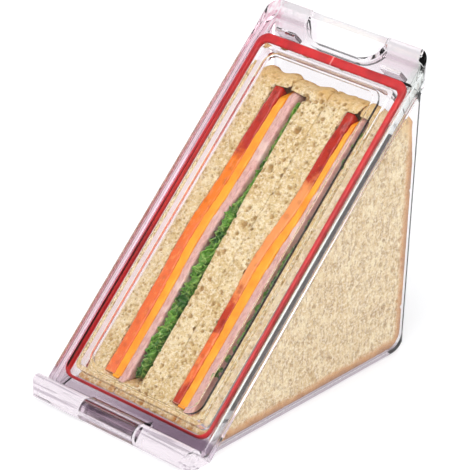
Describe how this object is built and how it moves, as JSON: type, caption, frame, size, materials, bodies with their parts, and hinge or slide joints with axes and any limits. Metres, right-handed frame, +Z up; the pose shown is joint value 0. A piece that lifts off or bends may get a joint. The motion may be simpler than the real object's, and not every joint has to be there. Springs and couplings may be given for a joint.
{
  "type": "sandwich wedge case",
  "caption": "Clear wedge-shaped sandwich case with a hinged lid over its slanted face, a red gasket and halved filled sandwiches standing inside.",
  "frame": {"origin": "on the table, at the centre of the closed case's footprint", "axes": "+X across the width, +Y towards the back wall, +Z up; the hinge is at the front, -Y"},
  "size_m": [0.083, 0.1398, 0.133],
  "materials": {
    "clear_plastic": "clear polished",
    "silicone": "satin",
    "bread": "open crumb with brown crust",
    "tomato": "wet",
    "cheese": "satin",
    "ham": "satin",
    "lettuce": "ruffled leaf"
  },
  "bodies": {
    "body": {"body_shell": "clear_plastic", "bread_slice_1": "bread", "bread_slice_2": "bread", "bread_slice_3": "bread", "bread_slice_4": "bread", "tomato_slice_a1": "tomato", "tomato_slice_a2": "tomato", "tomato_slice_a3": "tomato", "tomato_slice_b1": "tomato", "tomato_slice_b2": "tomato", "tomato_slice_b3": "tomato", "cheese_slice_a": "cheese", "cheese_slice_b": "cheese", "ham_slice_a": "ham", "ham_slice_b": "ham", "lettuce_leaf_a1": "lettuce", "lettuce_leaf_a2": "lettuce", "lettuce_leaf_b": "lettuce"},
    "lid": {"lid": "clear_plastic", "gasket": "silicone"}
  },
  "joints": [
    {"name": "lid_hinge", "type": "hinge", "parent": "body", "child": "lid", "pos_m": [0, -0.06525, 0.005], "axis": [1, 0, 0], "range_deg": [0, 135]}
  ]
}
